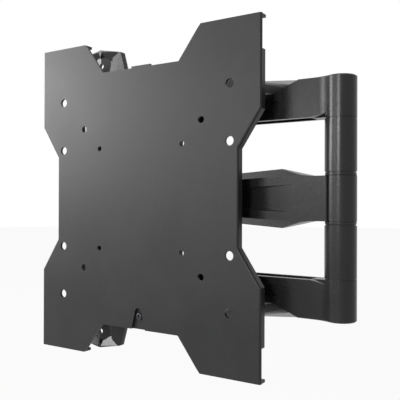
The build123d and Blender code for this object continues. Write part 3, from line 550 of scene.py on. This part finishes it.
class MOUNT_OT_finish_head(bpy.types.Operator):
    """Coat the swivel head and the tilting yoke, and finish their bolts"""

    bl_idname = "mount.finish_head"
    bl_label = "Swivel and Tilt Head"

    def execute(self, context):
        dress("sheet coat", "swivel_head", "tilt_head")
        dress("nylon", "upper_swivel_bush", "lower_swivel_bush")
        dress("nylon", "right_tilt_washer", "left_tilt_washer")
        dress("black plate", "swivel_pin", "swivel_nut", "roll_bolt", "roll_washer")
        dress("black plate", "roll_lock_screws", "right_tilt_bolt", "left_tilt_bolt")
        dress("black plate", "right_tilt_nut", "left_tilt_nut")
        return {"FINISHED"}


class MOUNT_OT_coat_plate(bpy.types.Operator):
    """Coat the television plate, its hook bracket and the lock screw"""

    bl_idname = "mount.coat_plate"
    bl_label = "Television Plate"

    def execute(self, context):
        dress("sheet coat", "television_plate", "hook_bracket")
        dress("black plate", "lock_screw")
        return {"FINISHED"}


class MOUNT_OT_cut_threads(bpy.types.Operator):
    """Wind the threads on the lock screw and the bolt ends that show"""

    bl_idname = "mount.cut_threads"
    bl_label = "Threads"

    def execute(self, context):
        thread = context.scene.wall_mount.thread
        low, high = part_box("lock_screw")
        sheet_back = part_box("hook_bracket")[0].y + HOOK_SHEET
        middle = (low + high) / 2
        cut_thread(
            "lock_screw_thread", (middle.x, sheet_back, middle.z), (0, 1, 0),
            high.y - sheet_back, LOCK_SCREW_RADIUS, thread.fine_pitch, "screen_side",
        )
        pin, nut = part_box("swivel_pin"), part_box("swivel_nut")
        middle = (pin[0] + pin[1]) / 2
        cut_thread(
            "swivel_pin_thread", (middle.x, middle.y, nut[0].z), (0, 0, -1),
            nut[0].z - pin[0].z, PIN_RADIUS, thread.coarse_pitch, "turning_head",
        )
        for side, inward in (("right", -1), ("left", 1)):
            bolt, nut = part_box(side + "_tilt_bolt"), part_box(side + "_tilt_nut")
            middle = (nut[0] + nut[1]) / 2
            end = 0 if inward < 0 else 1
            cut_thread(
                side + "_tilt_bolt_thread", (nut[end].x, middle.y, middle.z), (inward, 0, 0),
                abs(bolt[end].x - nut[end].x), TILT_BOLT_RADIUS, thread.coarse_pitch,
                "tilting_yoke",
            )
        return {"FINISHED"}


class MOUNT_OT_build_studio(bpy.types.Operator):
    """Set the floor, the lamps, the pale surroundings and the camera"""

    bl_idname = "mount.build_studio"
    bl_label = "Studio"

    def execute(self, context):
        studio = context.scene.wall_mount.studio
        lay_floor(studio)
        fill_room(studio)
        for name, power in (
            ("key_light", studio.key_power), ("top_light", studio.top_power),
            ("fill_light", studio.fill_power), ("front_light", studio.front_power),
        ):
            hang_lamp(name, power, **LAMPS[name])
        set_camera(context.scene, studio)
        context.scene.view_settings.view_transform = "Standard"
        return {"FINISHED"}


def hang_lamp(name, power, place, target, size):
    """A rectangular soft lamp that faces the target."""
    data = bpy.data.lights.new(name, "AREA")
    data.shape = "RECTANGLE"
    data.size, data.size_y = size
    data.energy = power
    holder = bpy.data.objects.new(name, data)
    holder.location = place
    aim = Vector(target) - Vector(place)
    holder.rotation_euler = aim.to_track_quat("-Z", "Y").to_euler()
    bpy.context.scene.collection.objects.link(holder)


def lay_floor(studio):
    """A round floor dished up at its rim, seen as white, that keeps the mount's shadow."""
    rings, spokes = 24, 64
    shape = bmesh.new()
    rows = []
    for ring in range(1, rings + 1):
        radius = FLOOR_REACH * ring / rings
        rise = FLOOR_DISH * max(0.0, radius - FLOOR_FLAT) ** 2
        rows.append([
            shape.verts.new((
                radius * math.cos(math.tau * spoke / spokes),
                radius * math.sin(math.tau * spoke / spokes),
                studio.floor_height + rise,
            ))
            for spoke in range(spokes)
        ])
    centre = shape.verts.new((0, 0, studio.floor_height))
    for spoke in range(spokes):
        shape.faces.new((centre, rows[0][spoke], rows[0][(spoke + 1) % spokes]))
    for inner, outer in zip(rows, rows[1:]):
        for spoke in range(spokes):
            after = (spoke + 1) % spokes
            shape.faces.new((inner[spoke], outer[spoke], outer[after], inner[after]))
    mesh = bpy.data.meshes.new("studio_floor")
    shape.to_mesh(mesh)
    shape.free()
    floor = bpy.data.objects.new("studio_floor", mesh)
    bpy.context.scene.collection.objects.link(floor)
    coat = Coat("floor_paper")
    fibres = coat.noise(60.0, detail=4.0)
    paper = coat.blend(fibres.between(0.3, 0.7), (0.42, 0.42, 0.42, 1), (0.46, 0.46, 0.46, 1))
    fibre_bump = coat.bump(fibres, strength=0.05, distance=0.001)
    coat.set(Base_Color=paper, Roughness=0.9, Normal=fibre_bump)
    glow = coat.add("ShaderNodeEmission", {}, {})
    paper_shader = Flow(coat, coat.surface.outputs["BSDF"])
    seen = coat.shown() * FLOOR_GLOW
    mixed = coat.add("ShaderNodeMixShader", {}, {"Fac": seen, 1: paper_shader, 2: glow})
    mixed.into(coat.nodes["Material Output"].inputs["Surface"])
    mesh.materials.append(coat.material)


def fill_room(studio):
    """White to the camera and in mirrors, and a plain soft level for everything else."""
    world = bpy.data.worlds.new("pale_room")
    world.use_nodes = True
    bpy.context.scene.world = world
    room = Tree(world.node_tree)
    sky = room.nodes["Background"]
    sky.inputs["Color"].default_value = (1, 1, 1, 1)
    levels = {"Value": room.shown(), "To Min": studio.room_level, "To Max": 1.0}
    room.add("ShaderNodeMapRange", {}, levels).into(sky.inputs["Strength"])


def set_camera(scene, studio):
    """The camera, to the right of the mount and level with its middle."""
    data = bpy.data.cameras.new("photo_camera")
    data.lens = studio.focal_length
    data.sensor_width = 36.0
    data.clip_start = 0.01
    data.clip_end = 50.0
    camera = bpy.data.objects.new("photo_camera", data)
    camera.location = CAMERA_PLACE
    camera.rotation_euler = [math.radians(angle) for angle in CAMERA_TURN]
    scene.collection.objects.link(camera)
    scene.camera = camera


OPERATORS = (
    MOUNT_OT_coat_bracket,
    MOUNT_OT_coat_arms,
    MOUNT_OT_coat_post,
    MOUNT_OT_finish_wall_pivots,
    MOUNT_OT_finish_head,
    MOUNT_OT_coat_plate,
    MOUNT_OT_cut_threads,
    MOUNT_OT_build_studio,
)


class MOUNT_PT_panel(bpy.types.Panel):
    """Buttons for each step of the mount"""

    bl_label = "Wall Mount"
    bl_space_type = "VIEW_3D"
    bl_region_type = "UI"
    bl_category = "Wall Mount"

    def draw(self, context):
        mount = context.scene.wall_mount
        for group in (mount.coat, mount.metal, mount.thread, mount.studio):
            box = self.layout.box()
            for key in group.__annotations__:
                box.prop(group, key)
        for step in OPERATORS:
            self.layout.operator(step.bl_idname)


CLASSES = (
    PowderCoatSettings,
    MetalSettings,
    ThreadSettings,
    StudioSettings,
    MountSettings,
    *OPERATORS,
    MOUNT_PT_panel,
)


def register():
    for item in CLASSES:
        bpy.utils.register_class(item)
    bpy.types.Scene.wall_mount = PointerProperty(type=MountSettings)


def unregister():
    del bpy.types.Scene.wall_mount
    for item in reversed(CLASSES):
        bpy.utils.unregister_class(item)


def main():
    """Runs every step in order."""
    register()
    for step in OPERATORS:
        group, name = step.bl_idname.split(".")
        getattr(getattr(bpy.ops, group), name)()


if __name__ == "__main__":
    main()
